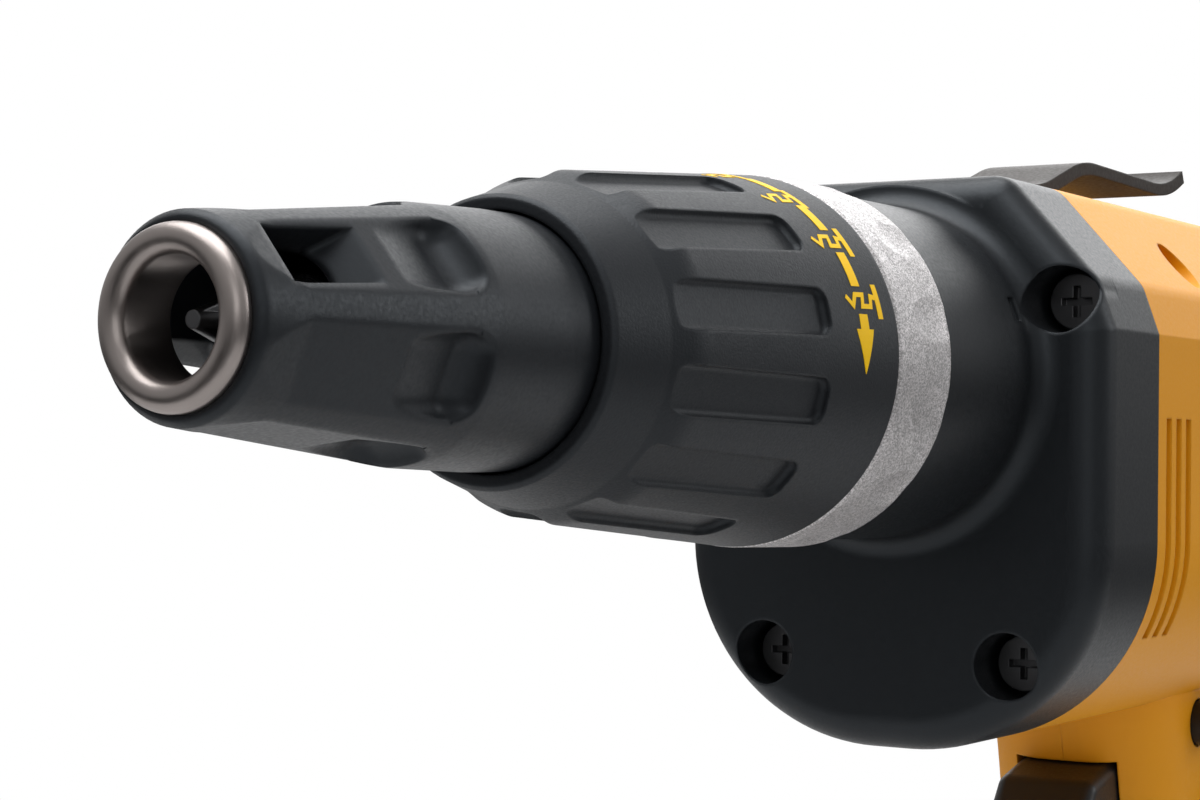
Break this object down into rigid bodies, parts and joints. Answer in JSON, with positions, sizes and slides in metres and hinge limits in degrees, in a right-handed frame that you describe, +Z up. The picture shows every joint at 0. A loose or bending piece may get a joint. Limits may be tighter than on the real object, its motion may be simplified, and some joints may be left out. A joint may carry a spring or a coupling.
{
  "type": "drywall screwdriver",
  "caption": "Mains drywall screwdriver: fluted depth-setting nose with a ribbed collar, sprung clutch spindle, geared motor and pistol handle with trigger and belt hook.",
  "frame": {"origin": "Centre of the steel nose ring, at the start of its straight bore, where a screw head meets the tool.", "axes": "X runs back along the spindle from the nose, Y to the tool's right side, Z up with the handle hanging down."},
  "size_m": [0.2947, 0.066, 0.2007],
  "materials": {
    "tip_steel": "satin turned steel",
    "nose_plastic": "satin moulded black",
    "collar_plastic": "fine-grained soft-touch black",
    "silver_paint": "metal-flake silver paint",
    "case_plastic": "satin moulded black",
    "yellow_plastic": "fine-grained orange-yellow moulding",
    "grip_rubber": "ribbed soft grip",
    "control_plastic": "satin black",
    "seal_rubber": "smooth black",
    "steel": "machined",
    "screw_steel": "blackened",
    "spring_steel": "drawn wire",
    "hook_steel": "dark painted",
    "bronze": "sintered bronze",
    "plate_aluminium": "cast and machined",
    "core_iron": "varnished laminations",
    "copper": "enamelled copper",
    "brass": "formed brass",
    "carbon": "pressed carbon",
    "magnet": "plated",
    "fan_plastic": "moulded grey",
    "insulator": "moulded brown"
  },
  "bodies": {
    "tool_body": {"gear_case": "case_plastic", "gear_case_screws": "screw_steel", "nose_o_ring": "seal_rubber", "front_bush": "bronze", "spindle_seal": "seal_rubber", "thrust_washer": "bronze", "gear_plate": "plate_aluminium", "front_bearing": "steel", "rear_bearing": "steel", "field_core": "core_iron", "field_windings": "copper", "carbon_brushes": "carbon", "brush_holders": "brass", "brush_springs": "spring_steel", "left_housing": "yellow_plastic", "right_housing": "yellow_plastic", "housing_screws": "screw_steel", "handle_grip": "grip_rubber", "trigger_switch": "insulator", "cord_inlet_bush": "seal_rubber", "cord_clamp": "insulator", "cord_clamp_screws": "screw_steel", "belt_hook": "hook_steel", "belt_hook_screws": "screw_steel"},
    "nose_base": {"nose_sleeve": "nose_plastic", "nose_base_ring": "silver_paint", "collar_wave_washer": "spring_steel"},
    "collar": {"depth_collar": "collar_plastic"},
    "cone": {"nose_cone": "nose_plastic", "tip_ring": "tip_steel"},
    "clutch": {"clutch_spring": "spring_steel"},
    "spindle": {"spindle": "steel", "bit_holder": "steel", "bit_magnet": "magnet", "bit_retaining_ring": "spring_steel", "bit": "screw_steel"},
    "gear": {"drive_gear": "steel"},
    "armature": {"armature_shaft": "steel", "pinion": "steel", "armature_core": "core_iron", "armature_windings": "copper", "commutator": "copper", "fan": "fan_plastic"},
    "trigger": {"trigger": "control_plastic", "trigger_spring": "spring_steel"},
    "lock": {"lock_button": "control_plastic"},
    "reverse": {"reverse_bar": "control_plastic"}
  },
  "joints": [
    {"name": "nose_pull", "type": "slide", "parent": "tool_body", "child": "nose_base", "axis": [-1, 0, 0], "range_m": [0, 0.12]},
    {"name": "collar_turn", "type": "hinge", "parent": "nose_base", "child": "collar", "pos_m": [0.08, 0, 0], "axis": [1, 0, 0], "range_deg": [-330, 330]},
    {"name": "cone_slide", "type": "slide", "parent": "nose_base", "child": "cone", "axis": [1, 0, 0], "range_m": [-0.003, 0.003]},
    {"name": "spindle_press", "type": "slide", "parent": "tool_body", "child": "clutch", "axis": [1, 0, 0], "range_m": [0, 0.003], "stiffness_N_per_m": 4000, "springref_m": -0.003, "deforming": ["clutch_spring"]},
    {"name": "spindle_spin", "type": "hinge", "parent": "clutch", "child": "spindle", "pos_m": [0.1, 0, 0], "axis": [1, 0, 0], "continuous": true},
    {"name": "gear_spin", "type": "hinge", "parent": "tool_body", "child": "gear", "pos_m": [0.156, 0, 0], "axis": [1, 0, 0], "continuous": true},
    {"name": "armature_spin", "type": "hinge", "parent": "tool_body", "child": "armature", "pos_m": [0.21, 0, -0.021], "axis": [1, 0, 0], "continuous": true},
    {"name": "trigger_pull", "type": "slide", "parent": "tool_body", "child": "trigger", "axis": [0.9703, 0, 0.2419], "range_m": [0, 0.006], "stiffness_N_per_m": 800, "springref_m": -0.004, "deforming": ["trigger_spring"]},
    {"name": "lock_press", "type": "slide", "parent": "tool_body", "child": "lock", "axis": [0, 1, 0], "range_m": [0, 0.0022], "stiffness_N_per_m": 600, "springref_m": -0.003},
    {"name": "reverse_shift", "type": "slide", "parent": "tool_body", "child": "reverse", "axis": [0, 1, 0], "range_m": [-0.003, 0.003]}
  ],
  "couplings": [
    {"joint": "cone_slide", "follows": "collar_turn", "m_per_rad": 0.00047746},
    {"joint": "gear_spin", "follows": "armature_spin", "ratio": -0.23529}
  ]
}
